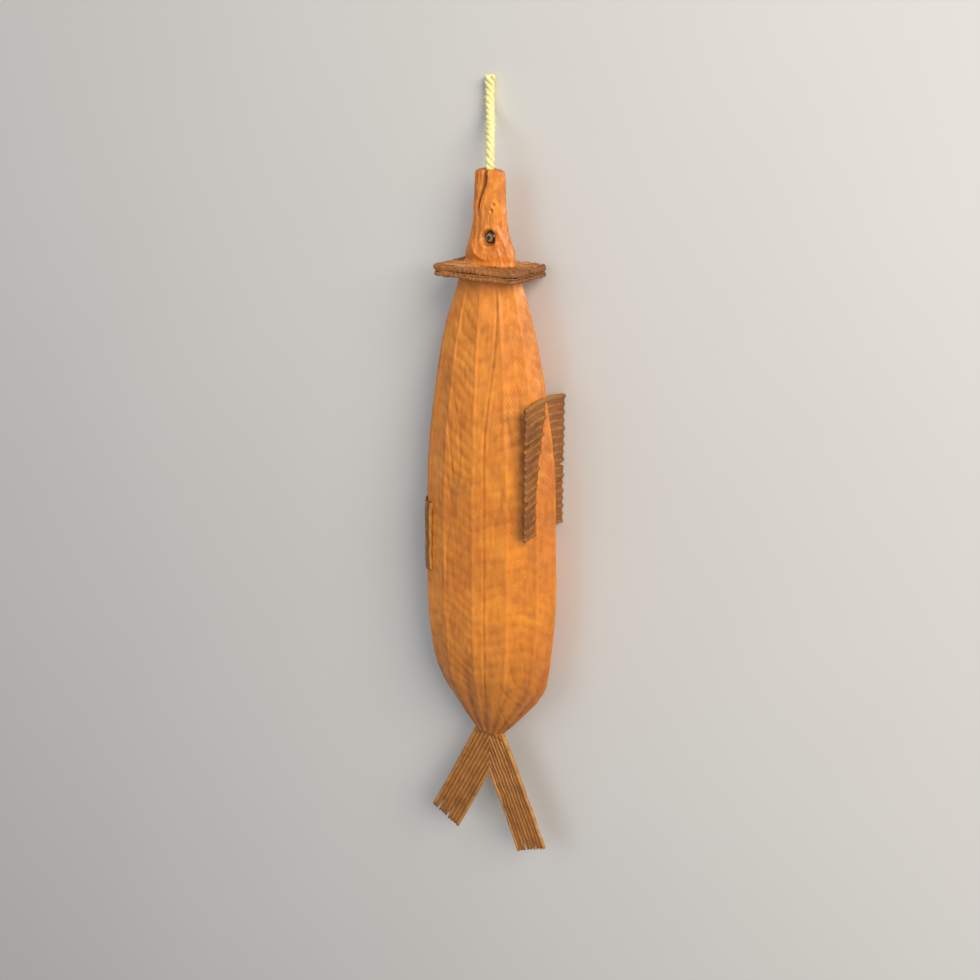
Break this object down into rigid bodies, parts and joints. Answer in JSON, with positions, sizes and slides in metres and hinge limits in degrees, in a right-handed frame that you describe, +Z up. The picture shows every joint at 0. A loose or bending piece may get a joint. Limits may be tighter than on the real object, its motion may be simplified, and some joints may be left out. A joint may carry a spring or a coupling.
{
  "type": "dried stockfish",
  "caption": "Whole air-dried fish lying on its flank, with flared gill covers, folded fins, a forked tail and a short cord out of its lips.",
  "frame": {"origin": "middle of the fish's outline without its cord, on the surface it lies on", "axes": "+Y along the fish towards its head, +X towards its back, +Z up through the shown flank"},
  "size_m": [0.1219, 0.6124, 0.0528],
  "materials": {
    "dried_flesh": "dry amber skin over hard flesh, slightly waxy",
    "gill_cover": "dull brown bone and skin",
    "dried_fin": "dull brown skin stretched over fin rays",
    "straw_cord": "matte twisted straw-yellow twine"
  },
  "bodies": {
    "root": {"body": "dried_flesh", "gill_collar": "gill_cover", "back_fin": "dried_fin", "belly_fin": "dried_fin", "tail_lobe_back": "dried_fin", "tail_lobe_belly": "dried_fin", "hanging_cord": "straw_cord"}
  },
  "joints": []
}
